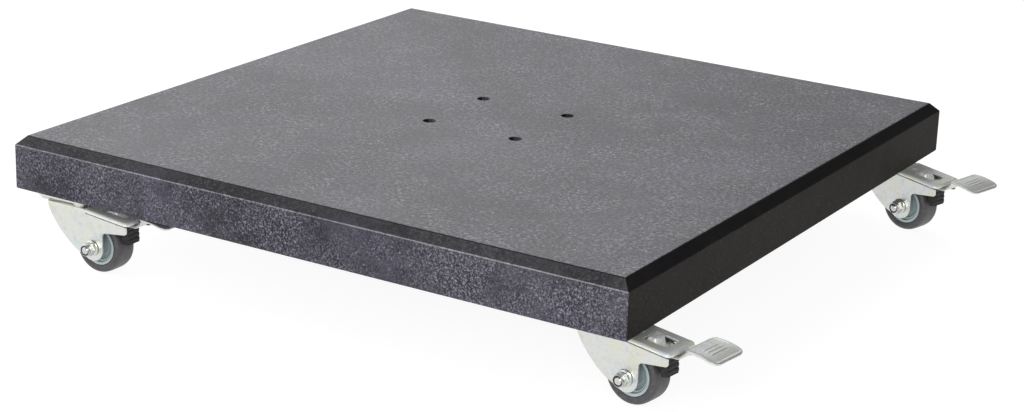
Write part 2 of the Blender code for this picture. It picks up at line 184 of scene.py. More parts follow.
HONED = granite(
    "granite_honed_top",
    dark=(0.0058, 0.0052, 0.0079), light=(0.105, 0.0995, 0.119), fleck=(0.38, 0.365, 0.41),
    crystal=3.6 * MM, cover=0.60, grain=0.66, rough=0.44, gloss=0.36, relief=0.20 * MM, dots=0.3)
CHAMFERED = granite(
    "granite_ground_chamfer",
    dark=(0.014, 0.0133, 0.0158), light=(0.044, 0.0420, 0.050), fleck=(0.115, 0.110, 0.130),
    crystal=3.0 * MM, cover=0.50, grain=0.45, rough=0.36, gloss=0.22, relief=0.03 * MM, dots=0.3)
SAWN = granite(
    "granite_sawn_side",
    dark=(0.030, 0.0285, 0.035), light=(0.080, 0.077, 0.094), fleck=(0.255, 0.247, 0.312),
    crystal=2.3 * MM, cover=0.95, grain=0.50, rough=0.66, gloss=0.12, relief=0.09 * MM, dots=0.6)
# A pale copy of the granite: a painted highlight along the chamfer's lower edge, on the faces that look
# along Y.
ARRIS_HIGHLIGHT = granite(
    "granite_arris_painted_highlight",
    dark=(0.13, 0.13, 0.145), light=(0.27, 0.265, 0.30), fleck=(0.38, 0.375, 0.41),
    crystal=3.0 * MM, cover=0.9, grain=0.5, rough=0.6, gloss=0.3, relief=0.05 * MM)
# A much darker, browner copy of the sawn side: painted shade on the two faces that look along X.
SAWN_SIDE_SHADE = granite(
    "granite_sawn_side_painted_shade",
    dark=(0.009, 0.0076, 0.0066), light=(0.023, 0.0198, 0.0175), fleck=(0.052, 0.046, 0.041),
    crystal=2.7 * MM, cover=0.55, grain=0.45, rough=0.6, gloss=0.08, relief=0.05 * MM)
# A near-black copy of the chamfer: painted shade on the chamfers that look along X, and a painted dark line
# along the top's rim.
CHAMFER_SHADE = granite(
    "granite_chamfer_painted_shade",
    dark=(0.0040, 0.0034, 0.0040), light=(0.010, 0.0088, 0.0100), fleck=(0.020, 0.018, 0.020),
    crystal=3.0 * MM, cover=0.40, grain=0.35, rough=0.5, gloss=0.10, relief=0.03 * MM)
STONE_LOOKS = [HONED, CHAMFERED, SAWN, ARRIS_HIGHLIGHT, CHAMFER_SHADE, SAWN_SIDE_SHADE]


def circle(radius, depth=0.0, centre=(0, 0), sides=32):
    """A level ring of points."""
    turns = [2 * math.pi * i / sides for i in range(sides)]
    return [
        Vector((centre[0] + radius * math.cos(t), centre[1] + radius * math.sin(t), -depth))
        for t in turns]


def loft(shape, rows, closed=True):
    """Skin a sheet through rows of points, each row joined end to end if closed."""
    count, steps = len(rows[0]), len(rows) - 1
    cells = count if closed else count - 1
    verts = bmesh.ops.create_grid(shape, x_segments=cells, y_segments=steps, size=0.5)["verts"]
    for vert in verts:
        column = round((vert.co.x + 0.5) * cells) % count
        vert.co = rows[round((vert.co.y + 0.5) * steps)][column]
    bmesh.ops.remove_doubles(shape, verts=verts, dist=0.001 * MM)


def ease_edges(shape, edges, width, segments):
    """Round or chamfer some edges."""
    bmesh.ops.bevel(
        shape, geom=edges, offset=width, segments=segments, profile=0.5, affect="EDGES", material=-1)


def face_outwards(shape):
    """Merge doubles, then turn every face of a closed shape outwards."""
    bmesh.ops.remove_doubles(shape, verts=shape.verts, dist=0.001 * MM)
    bmesh.ops.recalc_face_normals(shape, faces=shape.faces)


FLAT_WITHIN = 0.03 * MM


def pierce(shape, place, thick, holes):
    """Open holes through a flat wall whose outer face lies on place's XY plane.

    A hole is its rows of points, from the outer face to the inner one.
    """
    back = place.inverted()
    for level in (0, -thick):
        flat = [
            face for face in shape.faces
            if all(abs((back @ vert.co).z - level) < FLAT_WITHIN for vert in face.verts)]
        largest = max(flat, key=lambda face: face.calc_area())
        bmesh.ops.delete(shape, geom=[largest], context="FACES_ONLY")
    for rows in holes:
        loft(shape, [[place @ point for point in row] for row in rows])
    for level in (0, -thick):
        open_edges = [
            edge for edge in shape.edges
            if edge.is_boundary
            and all(abs((back @ vert.co).z - level) < FLAT_WITHIN for vert in edge.verts)]
        bmesh.ops.triangle_fill(
            shape, use_beauty=True, edges=open_edges, normal=place.to_3x3() @ Vector((0, 0, 1)))
    face_outwards(shape)


def set_down(shape, name, looks, body, stands_for=(), place=None, sharp=38):
    """Make a finished shape a piece in its place, riding on its body."""
    mesh = bpy.data.meshes.new(name)
    shape.to_mesh(mesh)
    if place is not None:
        mesh.transform(place)
    for look in looks:
        mesh.materials.append(look)
    mesh.shade_smooth()
    mesh.set_sharp_from_angle(angle=math.radians(sharp))
    piece = bpy.data.objects.new(name, mesh)
    bpy.context.scene.collection.objects.link(piece)
    shading = piece.modifiers.new("Even shading", "WEIGHTED_NORMAL")
    shading.keep_sharp = True
    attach(piece, body)
    if stands_for:
        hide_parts(*stands_for)
    return piece


def centre_of(node):
    """The middle of a CAD node's box."""
    low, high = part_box(node)
    return (low + high) / 2


stone = bmesh.new()
stone_middle = Matrix.Translation((STONE_LOW + STONE_HIGH) / 2)
stone_size = Matrix.Diagonal((STONE_SIDE, STONE_SIDE, STONE_THICK, 1))
bmesh.ops.create_cube(stone, size=1, matrix=stone_middle @ stone_size)
top_edges = [e for e in stone.edges if all(v.co.z > STONE_HIGH.z - MM for v in e.verts)]
ease_edges(stone, top_edges, STONE_CHAMFER, 1)
foot_edges = [e for e in stone.edges if all(v.co.z < STONE_LOW.z + MM / 2 for v in e.verts)]
ease_edges(stone, foot_edges, STONE_FOOT_ARRIS, 1)
rim_edges = [e for e in stone.edges if all(v.co.z > STONE_HIGH.z - MM / 2 for v in e.verts)]
ease_edges(stone, rim_edges, STONE_RIM, 2)
other_edges = [e for e in stone.edges if min(v.co.z for v in e.verts) < STONE_HIGH.z - 2 * MM]
ease_edges(stone, other_edges, STONE_SOFT_EDGE, 2)
# A bolt hole's wall as radius and depth, from the honed top down, in millimetres.
BORE_STEPS = [
    (7.5, 0), (7.15, 0.12), (7.0, 0.5), (7.0, 12), (9.3, 12),
    (9.3, 55.5), (14.3, 55.5), (14.3, 58.6), (14.7, 59)]
BORE_SIDES = 48
bores = [
    [circle(radius * MM, depth * MM, centre_of(bush), BORE_SIDES) for radius, depth in BORE_STEPS]
    for bush in BUSHES]
pierce(stone, Matrix.Translation((0, 0, STONE_HIGH.z)), STONE_THICK, bores)
# Faces take their looks by the way they face. The faces along X, their chamfers and the top's rim strip get
# darker copies as painted shade; elsewhere the chamfer's lower arris gets a pale copy as a painted
# highlight.
for face in stone.faces:
    lift = face.normal.z
    height = face.calc_center_median().z
    across = abs(face.normal.x) > abs(face.normal.y)
    if lift > 0.95 and height > STONE_HIGH.z - MM:
        look = HONED
    elif 0.1 < lift < 0.62 and height < STONE_HIGH.z - STONE_CHAMFER / 2:
        look = SAWN_SIDE_SHADE if across else ARRIS_HIGHLIGHT
    elif 0.5 < lift < 0.95:
        look = CHAMFER_SHADE if across or height > STONE_HIGH.z - MM else CHAMFERED
    else:
        look = SAWN_SIDE_SHADE if across and abs(lift) < 0.5 else SAWN
    face.material_index = STONE_LOOKS.index(look)
set_down(stone, "granite_slab", STONE_LOOKS, "base", ["slab"], sharp=60)


# ---- Bolt bushes --------------------------------------------------------------------------------
# Four flanged steel bushes, turned and threaded inside, pressed up into the stone from below.
# The parasol foot's bolts come down through the slab and screw into them.
def eased(points, radius, closed=True, steps=2):
    """An outline with its corners rounded, each by no more than its shorter side allows."""
    points = [Vector(point) for point in points]
    count = len(points)
    made = []
    for i, corner in enumerate(points):
        if not closed and i in (0, count - 1):
            made.append(corner)
            continue
        before, after = points[i - 1], points[(i + 1) % count]
        first = corner + (before - corner) * min(radius / max((before - corner).length, 1e-9), 0.45)
        last = corner + (after - corner) * min(radius / max((after - corner).length, 1e-9), 0.45)
        for step in range(steps + 1):
            t = step / steps
            made.append(first * (1 - t) ** 2 + corner * 2 * t * (1 - t) + last * t ** 2)
    return made


def turned(profile, sides, closed=True):
    """A piece turned on a lathe: a half section of radius and height, spun round Z."""
    shape = bmesh.new()
    verts = [shape.verts.new((radius, 0, height)) for radius, height in profile]
    pairs = list(zip(verts, verts[1:]))
    if closed:
        pairs.append((verts[-1], verts[0]))
    edges = [shape.edges.new(pair) for pair in pairs]
    bmesh.ops.spin(
        shape, geom=verts + edges, cent=(0, 0, 0), axis=(0, 0, 1), dvec=(0, 0, 0),
        angle=2 * math.pi, steps=sides, use_merge=True, use_duplicate=False)
    face_outwards(shape)
    return shape


def millimetres(points):
    """The same points, given in millimetres."""
    return [tuple(value * MM for value in point) for point in points]


def plain_steel(name, tint, rough):
    """Machined steel, lightly oiled: fine scratches, dull patches and a little staining."""
    made, tree, shader = finish(name, metal=1.0)
    patches = noise(tree, 9 * MM, 4.0, 0.6, 0.4)
    scratches = noise(tree, 0.5 * MM, 2.0, 0.5)
    dull = tuple(0.62 * c for c in tint)
    plug(tree, shader.inputs["Base Color"], mixed(tree, between(tree, patches, 0.35, 0.7), tint, dull))
    plug(tree, shader.inputs["Roughness"], between(
        tree, sums(tree, "ADD", patches, scratches), 0.7, 1.3, rough - 0.1, rough + 0.12))
    plug(tree, shader.inputs["Normal"], bumped(tree, scratches, 0.02 * MM))
    return made


STEEL = plain_steel("machined_steel", (0.56, 0.56, 0.55), 0.36)
THREAD_PITCH = 1.75
THREAD_CREST, THREAD_ROOT = 6.2, 6.75
THREAD_START, THREAD_END = -57.7, -15
bore = [(THREAD_CREST, THREAD_START)]
while bore[-1][1] < THREAD_END:
    height = bore[-1][1]
    bore += [(THREAD_ROOT, height + THREAD_PITCH / 2), (THREAD_CREST, height + THREAD_PITCH)]
bush_section = [
    (6.9, -58.5), *bore, (6.9, -12.3), (8.6, -12.3), (9, -12.7), (9, -55.7), (9.3, -56),
    (13.6, -56), (14, -56.4), (14, -58.1), (13.6, -58.5)]
for bush in BUSHES:
    middle = centre_of(bush)
    set_down(
        turned(millimetres(bush_section), 48), f"{bush}_bush", [STEEL], "base", [bush],
        Matrix.Translation((middle.x, middle.y, 0)), 25)


# ---- Castor top plates and screws ---------------------------------------------------------------
# Each castor hangs from a square plate, blanked from 2.5 mm steel and bright zinc plated.
# Four button-head screws hold it up against the underside of the stone.
CORNERS = ("front_right", "rear_right", "front_left", "rear_left")
JOINTS = {joint["name"]: joint for joint in frame["joints"]}


def castor_place(corner):
    """From a castor's own frame, on its swivel axis at the stone with the pedal along X."""
    swivel = Vector(JOINTS[f"{corner}_swivel"]["pos_m"])
    axle = Vector(JOINTS[f"{corner}_wheel_spin"]["axis"])
    return Matrix.Translation(swivel) @ Matrix.Rotation(math.atan2(-axle.x, axle.y), 4, "Z")


def head_place(corner):
    """From the frame of a castor's fixed head, which stands square to the slab."""
    return Matrix.Translation(Vector(JOINTS[f"{corner}_swivel"]["pos_m"]))


def zinc_plate(name, shine, rough, warmth, metal=1.0, pits=0.014 * MM):
    """Bright zinc plate: a soft grey-white with faint yellow-green and blue blushes, and handling marks."""
    made, tree, shader = finish(name, metal=metal)
    blush = noise(tree, 17 * MM, 3.0, 0.55, 0.8)
    spread = noise(tree, 5 * MM, 4.0, 0.6, 0.3)
    grit = noise(tree, 0.7 * MM, 2.0, 0.55)
    plain = (shine, 1.015 * shine, 0.975 * shine)
    yellow = (0.98 * shine, shine, shine - warmth)
    blue = (0.82 * shine, 0.93 * shine, 0.99 * shine)
    tint = mixed(tree, between(tree, blush, 0.50, 0.72), plain, yellow)
    tint = mixed(tree, between(tree, blush, 0.44, 0.26), tint, blue)
    worn = between(tree, spread, 0.52, 0.76, 0.0, 0.5)
    plug(tree, shader.inputs["Base Color"], mixed(tree, worn, tint, tuple(0.7 * c for c in plain)))
    plug(tree, shader.inputs["Roughness"], between(
        tree, sums(tree, "ADD", spread, grit), 0.7, 1.3, rough - 0.08, rough + 0.12))
    plug(tree, shader.inputs["Normal"], bumped(
        tree, grit, pits, bumped(tree, noise(tree, 8 * MM, 2.0, 0.5), 0.16 * MM)))
    return made


ZINC = zinc_plate("bright_zinc_plate", shine=0.68, rough=0.34, warmth=0.16)
ZINC_HARDWARE = zinc_plate("zinc_hardware", shine=0.60, rough=0.26, warmth=0.10)
ZINC_PEDAL = zinc_plate("dull_zinc_plate", shine=0.65, rough=0.46, warmth=0.06, metal=0.8)
# A lighter, mostly diffuse copy of the zinc plate for the lid: painted light standing in for the overhead
# light the slab keeps off it; its yellow tint is the plating's own.
ZINC_COVER_LIT = zinc_plate("cover_zinc_painted_light", shine=0.80, rough=0.34, warmth=0.20, metal=0.25)
# A near-white, mostly diffuse copy of the zinc for the rocker: painted light, so that it shows bright in
# the shade under the lid; its pits are real.
ZINC_ROCKER_LIT = zinc_plate(
    "rocker_zinc_painted_light", shine=0.92, rough=0.30, warmth=0.04, metal=0.20, pits=0.05 * MM)


def rounded_rectangle(half_x, half_y, radius, depth=0.0, centre=(0, 0), steps=5):
    """A level ring of points round a rectangle with round corners."""
    points = []
    for quarter, (sign_x, sign_y) in enumerate(((1, 1), (-1, 1), (-1, -1), (1, -1))):
        middle = (centre[0] + sign_x * (half_x - radius), centre[1] + sign_y * (half_y - radius))
        for step in range(steps + 1):
            turn = math.pi / 2 * (quarter + step / steps)
            points.append(Vector((
                middle[0] + radius * math.cos(turn), middle[1] + radius * math.sin(turn), -depth)))
    return points


def block(shape, outline, push, arris=0.0, segments=2):
    """A flat outline pushed out into a solid, with its edges eased."""
    face = shape.faces.new([shape.verts.new(point) for point in outline])
    grown = bmesh.ops.extrude_face_region(shape, geom=[face])["geom"]
    moved = [item for item in grown if isinstance(item, bmesh.types.BMVert)]
    bmesh.ops.translate(shape, verts=moved, vec=push)
    bmesh.ops.recalc_face_normals(shape, faces=shape.faces)
    if arris:
        corners = [
            edge for edge in shape.edges
            if edge.is_manifold and edge.calc_face_angle() > math.radians(45)]
        ease_edges(shape, corners, arris, segments)


def punched(radius, thick, centre=(0, 0), sides=32):
    """The rows of a punched hole with slightly rolled edges."""
    return [
        circle((radius + grow) * MM, depth * MM, centre, sides)
        for grow, depth in (
            (0.35, 0), (0.1, 0.1), (0, 0.35), (0, thick - 0.35), (0.1, thick - 0.1), (0.35, thick))]


PLATE_HALF, PLATE_CORNER = 31 * MM, 6 * MM
PLATE_TOP, PLATE_THICK, HOLE_OFFSET = -0.3, 2.5, 23
SCREW_HOLE_R, RIVET_HOLE_R = 4.3, 6.3
plate = bmesh.new()
plate_outline = rounded_rectangle(PLATE_HALF, PLATE_HALF, PLATE_CORNER, -PLATE_TOP * MM)
block(plate, plate_outline, Vector((0, 0, -PLATE_THICK * MM)), 0.4 * MM)
SCREW_SPOTS = [(sx * HOLE_OFFSET * MM, sy * HOLE_OFFSET * MM) for sx in (-1, 1) for sy in (-1, 1)]
plate_holes = [punched(SCREW_HOLE_R, PLATE_THICK, spot) for spot in SCREW_SPOTS]
plate_holes.append(punched(RIVET_HOLE_R, PLATE_THICK, (0, 0), 40))
pierce(plate, Matrix.Translation((0, 0, PLATE_TOP * MM)), PLATE_THICK * MM, plate_holes)

HEAD_R, HEAD_TOP, HEAD_LOW = 7.0, -2.85, -7.1
SHANK_R, SHANK_TOP = 3.9, -0.4
SOCKET_R, SOCKET_DEPTH = 2.5, 2.4
SCREW_SIDES = 36
screws = bmesh.new()
head_section = [
    (SOCKET_R + 0.5, HEAD_LOW), (4.4, HEAD_LOW + 0.25), (5.8, HEAD_LOW + 1.2), (6.7, HEAD_LOW + 2.7),
    (HEAD_R, HEAD_LOW + 3.8), (HEAD_R - 0.1, HEAD_TOP)]
socket_ring = []
for step in range(SCREW_SIDES):
    turn = step * math.pi / 18
    from_flat = 10 * step % 60 - 30
    reach = SOCKET_R * math.cos(math.pi / 6) / math.cos(from_flat * math.pi / 180)
    socket_ring.append((reach * MM * math.cos(turn), reach * MM * math.sin(turn)))
for spot in SCREW_SPOTS:
    rows = [
        circle(0.0, -SHANK_TOP * MM, spot, SCREW_SIDES),
        circle(SHANK_R * MM, -SHANK_TOP * MM, spot, SCREW_SIDES),
        circle(SHANK_R * MM, -HEAD_TOP * MM, spot, SCREW_SIDES)]
    for radius, height in reversed(head_section):
        rows.append(circle(radius * MM, -height * MM, spot, SCREW_SIDES))
    for height in (HEAD_LOW, HEAD_LOW + SOCKET_DEPTH):
        rows.append([Vector((spot[0] + x, spot[1] + y, height * MM)) for x, y in socket_ring])
    rows.append(circle(0.0, -(HEAD_LOW + 3.0) * MM, spot, SCREW_SIDES))
    loft(screws, rows)
face_outwards(screws)

for corner in CORNERS:
    set_down(
        plate, f"{corner}_plate", [ZINC], "base", [f"{corner}_top_plate"],
        head_place(corner), 60)
    set_down(
        screws, f"{corner}_plate_screws", [ZINC_HARDWARE], "base", (),
        head_place(corner), 35)


# ---- Swivel races and rivets --------------------------------------------------------------------
# Two pressed cups hold a ring of balls between the plate and the fork, with a dust gap between them.
# A steel rivet, headed below the fork's crown, is what the fork turns on.
race_section = [
    (6.3, -3.1), (18.9, -3.1), (20, -3.9), (20, -5.1), (18.7, -5.5), (18.2, -5.6), (18.2, -6.2),
    (18.9, -6.3), (19.6, -6.6), (19.6, -8.1), (18.6, -8.7), (13, -8.7), (12.4, -8.2), (11, -8.2),
    (10.4, -8.7), (6.3, -8.7)]
race = turned(eased(millimetres(race_section), 0.35 * MM), 64)
rivet_section = [
    (0, -0.8), (5.6, -0.8), (6, -1.2), (6, -11.8), (9, -11.8), (9, -12.7), (8.3, -13.9), (6.4, -15),
    (3.4, -15.3), (2.9, -14.9), (0, -14.7)]
rivet = turned(eased(millimetres(rivet_section), 0.4 * MM, closed=False), 48, closed=False)
for corner in CORNERS:
    set_down(
        race, f"{corner}_race", [ZINC_HARDWARE], "base", [f"{corner}_swivel_bearing"],
        head_place(corner), 30)
    set_down(
        rivet, f"{corner}_rivet", [STEEL], "base", [f"{corner}_kingpin"],
        head_place(corner), 30)


# ---- Forks --------------------------------------------------------------------------------------
# One blank of 2.5 mm steel, bent down on both sides of a flat crown into two deep cheeks.
# Each cheek runs from a sloping back round the axle, over a wheel notch and out into a front arm.
CASTOR = castor_place("front_left")
AXLE = CASTOR.inverted() @ Vector(JOINTS["front_left_wheel_spin"]["pos_m"])
PIN = CASTOR.inverted() @ Vector(JOINTS["front_left_brake_press"]["pos_m"])
SHEET = 2.5 * MM
CHEEK_Y = 21.5 * MM
CROWN_TOP = -9 * MM
FORK_BEND = 4 * MM


def arc(centre, radius, start, end, steps):
    """Points of an arc, in degrees anticlockwise, ends included."""
    angles = [math.radians(start + (end - start) * i / steps) for i in range(steps + 1)]
    return [(centre[0] + radius * math.cos(a), centre[1] + radius * math.sin(a)) for a in angles]


def crown_line(across, drop):
    """The rear and front points of the fork's skin, a given drop below its crown.

    The skin leans out as it drops: 2.5 in 9 behind, and 2 in 5.2 in front.
    """
    return [
        Vector((-25 * MM + drop * 2.5 / 9, across, CROWN_TOP - drop)),
        Vector((26 * MM + drop * 2 / 5.2, across, CROWN_TOP - drop))]


def give_thickness(shape, thick, arris):
    """Make an open skin a sheet of metal that grows inwards, and ease its cut edges."""
    skin = shape.faces[:]
    bmesh.ops.solidify(shape, geom=skin, thickness=thick)
    face_outwards(shape)
    cut = [edge for edge in shape.edges if edge.calc_face_angle(0) > math.radians(48)]
    ease_edges(shape, cut, arris, 2)


fork = bmesh.new()
bend = [
    (CHEEK_Y - FORK_BEND * (1 - math.sin(t)), FORK_BEND * (1 - math.cos(t)))
    for t in (math.pi / 2 * i / 6 for i in range(7))]
fork_rows = [crown_line(-y, drop) for y, drop in reversed(bend)]
fork_rows += [crown_line(y, drop) for y, drop in bend]
loft(fork, fork_rows, closed=False)
top_rear, top_front = crown_line(0, FORK_BEND)
BACK_EDGE = [(-22.5, -18), (-17.5, -27), (-9, -38), (2, -48.5), (14, -57.5), (27.3, -62.6)]
FRONT_ARM = [(82.5, -28.4), (84, -27), (84, -20), (28, -14.7)]
AXLE_LOBE_R, NOTCH_R = 14.5 * MM, 4.5 * MM
back_points = [(top_rear.x / MM, top_rear.z / MM), *BACK_EDGE]
back = eased(millimetres(back_points), 7 * MM, closed=False, steps=3)[:-1]
cheek = [(point[0], point[1]) for point in back]
cheek += arc((AXLE.x, AXLE.z), AXLE_LOBE_R, 228, 360, 18)
cheek += arc((AXLE.x + 19 * MM, -36.5 * MM), NOTCH_R, 180, 96, 8)
cheek += eased(millimetres(FRONT_ARM), 1 * MM, closed=False)
cheek.append((top_front.x, top_front.z))
for side in (-1, 1):
    fork.faces.new([fork.verts.new((along, side * CHEEK_Y, up)) for along, up in cheek])
bmesh.ops.remove_doubles(fork, verts=fork.verts, dist=0.001 * MM)
bmesh.ops.recalc_face_normals(fork, faces=fork.faces)
if max(fork.faces, key=lambda face: face.calc_center_median().z).normal.z < 0:
    bmesh.ops.reverse_faces(fork, faces=fork.faces)
give_thickness(fork, SHEET, 0.4 * MM)
AXLE_HOLE_R = 4.3
pierce(fork, Matrix.Translation((0, 0, CROWN_TOP)), SHEET, [punched(RIVET_HOLE_R, 2.5, (0, 0), 40)])
for side in (-1, 1):
    wall = Matrix.Translation((0, side * CHEEK_Y, 0)) @ Matrix.Rotation(-side * math.pi / 2, 4, "X")
    spot = wall.inverted() @ Vector((AXLE.x, side * CHEEK_Y, AXLE.z))
    pierce(fork, wall, SHEET, [punched(AXLE_HOLE_R, 2.5, (spot.x, spot.y), 32)])

for corner in CORNERS:
    set_down(
        fork, f"{corner}_yoke", [ZINC], f"{corner}_castor", [f"{corner}_fork"],
        castor_place(corner), 45)


# ---- Brake covers -------------------------------------------------------------------------------
# A pressed lid over the front arms, its three edges drawn down round a rolled bend.
# It has a window for the brake's rocker and a round hole behind it; the pedal comes out below it.
COVER_Y = 23 * MM
COVER_REAR, COVER_FRONT = 28.2 * MM, 86.5 * MM
COVER_REAR_TOP = -9.2 * MM
COVER_BEND = 3 * MM
COVER_SHEET = 2 * MM
COVER_DEPTH = 3.9 * MM
COVER_FALL = (14.6 - 9.2) / (86.5 - 28.2)
FRONT_CORNER = 5 * MM
WINDOW_ALONG, HOLE_ALONG = 61.5 * MM, 38 * MM
WINDOW_HALF_X, WINDOW_HALF_Y, WINDOW_CORNER = 13.5, 11.5, 1.6


def cover_top(along):
    """Height of the lid's flat top."""
    return COVER_REAR_TOP - (along - COVER_REAR) * COVER_FALL


def cover_lip(along):
    """Height of the lid's lower edge."""
    return cover_top(along) - COVER_DEPTH


# The lid's edge, as spots with their outward directions and the heights of the lip there.
path = []
for along in (28.2, 33, 38, 50, 62, 74):
    path.append((Vector((along * MM, COVER_Y)), Vector((0, 1)), cover_lip(along * MM)))
for step in range(7):
    t = math.pi / 2 * (1 - step / 6)
    out = Vector((math.cos(t), math.sin(t)))
    middle = Vector((COVER_FRONT - FRONT_CORNER, COVER_Y - FRONT_CORNER))
    spot = middle + out * FRONT_CORNER
    path.append((spot, out, cover_lip(spot.x)))
path.append((Vector((COVER_FRONT, 9 * MM)), Vector((1, 0)), cover_lip(COVER_FRONT)))
path += [
    (Vector((spot.x, -spot.y)), Vector((out.x, -out.y)), foot) for spot, out, foot in reversed(path)]

skirt = []
for step in range(6):
    t = math.pi / 2 * step / 5
    inset, drop = COVER_BEND * (1 - math.sin(t)), COVER_BEND * (1 - math.cos(t))
    ring = []
    for spot, out, foot in path:
        point = spot - out * inset
        ring.append(Vector((point.x, point.y, cover_top(point.x) - drop)))
    skirt.append(ring)
skirt.append([Vector((spot.x, spot.y, foot)) for spot, out, foot in path])
cover = bmesh.new()
loft(cover, skirt, closed=False)
cover.faces.new([cover.verts.new(point) for point in skirt[0]])
bmesh.ops.remove_doubles(cover, verts=cover.verts, dist=0.001 * MM)
bmesh.ops.recalc_face_normals(cover, faces=cover.faces)
if max(cover.faces, key=lambda face: face.calc_area()).normal.z < 0:
    bmesh.ops.reverse_faces(cover, faces=cover.faces)
give_thickness(cover, COVER_SHEET, 0.35 * MM)
lid_rear = Matrix.Translation((COVER_REAR, 0, cover_top(COVER_REAR)))
lid = lid_rear @ Matrix.Rotation(math.atan(COVER_FALL), 4, "Y")
window_spot = (lid.inverted() @ Vector((WINDOW_ALONG, 0, cover_top(WINDOW_ALONG)))).xy
hole_spot = (lid.inverted() @ Vector((HOLE_ALONG, 0, cover_top(HOLE_ALONG)))).xy
window = [
    rounded_rectangle(
        (WINDOW_HALF_X + grow) * MM, (WINDOW_HALF_Y + grow) * MM, (WINDOW_CORNER + grow) * MM,
        depth * MM, window_spot)
    for grow, depth in ((0.35, 0), (0.1, 0.1), (0, 0.35), (0, 1.65), (0.1, 1.9), (0.35, 2))]
pierce(cover, lid, COVER_SHEET, [window, punched(3, 2, hole_spot, 28)])
for corner in CORNERS:
    set_down(
        cover, f"{corner}_lid", [ZINC_COVER_LIT], f"{corner}_castor",
        [f"{corner}_brake_cover"], castor_place(corner), 45)


# ---- Axles --------------------------------------------------------------------------------------
# A hexagon bolt passes through both cheeks and a steel sleeve, and a flanged lock nut closes it.
# Everything but the sleeve is zinc plated; the nut's collar holds a dark nylon ring.
def axle_place(corner):
    """From a frame on the axle whose Z points out of the nut's side of the castor."""
    return castor_place(corner) @ Matrix.Translation(AXLE) @ Matrix.Rotation(math.pi / 2, 4, "X")


def hex_ring(limit, height, flats=6.5, sides=48):
    """A ring that follows a hexagon, cut off by a circle, in millimetres."""
    points = []
    for i in range(sides):
        turn = 360 * i / sides
        side = flats / math.cos(math.radians(turn % 60 - 30))
        radius = min(side, limit) * MM
        points.append(Vector((
            radius * math.cos(math.radians(turn)), radius * math.sin(math.radians(turn)), height * MM)))
    return points


def round_ring(radius, height, sides=48):
    """A ring round the axle, in millimetres."""
    return circle(radius * MM, -height * MM, (0, 0), sides)


def nylon_ring():
    """Dark moulded nylon."""
    made, tree, shader = finish("nylon_ring", 0.4)
    grain = noise(tree, 0.6 * MM, 2.0)
    plug(tree, shader.inputs["Base Color"], mixed(tree, grain, (0.02, 0.024, 0.03), (0.04, 0.045, 0.055)))
    plug(tree, shader.inputs["Roughness"], between(tree, grain, 0.3, 0.7, 0.4, 0.55))
    plug(tree, shader.inputs["Normal"], bumped(tree, grain, 0.01 * MM))
    return made


NYLON = nylon_ring()
CHEEK_FACE = 21.8
BOLT_END = CHEEK_FACE + 12.4
BOLT_R, BOLT_ROOT_R, BOLT_PITCH, BOLT_THREAD_END = 3.95, 3.55, 1.25, 16
bolt = bmesh.new()
bolt_rings = [(0, BOLT_END), (2.6, BOLT_END), (3.2, BOLT_END - 0.35), (BOLT_R, BOLT_END - 1.1)]
thread = BOLT_END - 1.1
while thread > BOLT_THREAD_END:
    bolt_rings += [(BOLT_R, thread - 0.35), (BOLT_ROOT_R, thread - 0.75), (BOLT_R, thread - 1.15)]
    thread -= BOLT_PITCH
bolt_rings += [(BOLT_R, 14), (BOLT_R, -CHEEK_FACE)]
bolt_rows = [round_ring(radius, height) for radius, height in bolt_rings]
bolt_rows += [hex_ring(limit, -(CHEEK_FACE + height)) for limit, height in (
    (6.3, 0), (6.6, 0.15), (9, 0.5), (9, 4.3), (7.3, 4.6), (6.9, 4.85), (6.45, 5.1), (6.0, 5.3),
    (4.4, 5.3), (4.2, 5.05), (0, 5.05))]
loft(bolt, bolt_rows)
face_outwards(bolt)

NYLON_R, NYLON_FROM = 5.56 * MM, (CHEEK_FACE + 9) * MM
nut = bmesh.new()
nut_rows = [round_ring(radius, CHEEK_FACE + height) for radius, height in (
    (4.3, 0.2), (4.7, 0), (8.3, 0), (8.7, 0.2), (8.8, 0.5), (8.7, 1.0), (8.2, 1.5), (7.6, 1.75))]
nut_rows += [hex_ring(limit, CHEEK_FACE + height) for limit, height in (
    (7.2, 2.1), (9, 2.6), (9, 7.2), (7.35, 7.6), (7.0, 7.85), (6.65, 8.1), (6.3, 8.35), (6.1, 8.6))]
nut_rows += [round_ring(radius, CHEEK_FACE + height) for radius, height in (
    (6.3, 9.0), (6.3, 10.9), (6.2, 11.2), (6.0, 11.4), (5.8, 11.4), (5.6, 11.3), (5.55, 11.1),
    (5.55, 10.3), (4.15, 10.25), (4.1, 9.8), (4.3, 9.0), (4.3, 0.2))]
loft(nut, nut_rows)
face_outwards(nut)
for face in nut.faces:
    spot = face.calc_center_median()
    face.material_index = int(spot.z > NYLON_FROM and spot.xy.length < NYLON_R)

pin_section = [(0, 20.5), (1.9, 20.5), (2.5, 19.9), (2.5, -19.9), (1.9, -20.5), (0, -20.5)]
pin = turned(eased(millimetres(pin_section), 0.3 * MM, closed=False), 32, closed=False)
for corner in CORNERS:
    body = f"{corner}_castor"
    set_down(
        bolt, f"{corner}_bolt", [ZINC_HARDWARE], body, [f"{corner}_axle_bolt"],
        axle_place(corner), 32)
    set_down(
        nut, f"{corner}_nut", [ZINC_HARDWARE, NYLON], body, [f"{corner}_axle_nut"],
        axle_place(corner), 32)
    set_down(
        pin, f"{corner}_pin", [STEEL], body, [f"{corner}_pedal_pin"],
        castor_place(corner) @ Matrix.Translation(PIN) @ Matrix.Rotation(math.pi / 2, 4, "X"), 30)
    sleeve = frame["nodes"][f"{corner}_axle_sleeve"]
    for look_slot in sleeve.material_slots:
        look_slot.material = STEEL


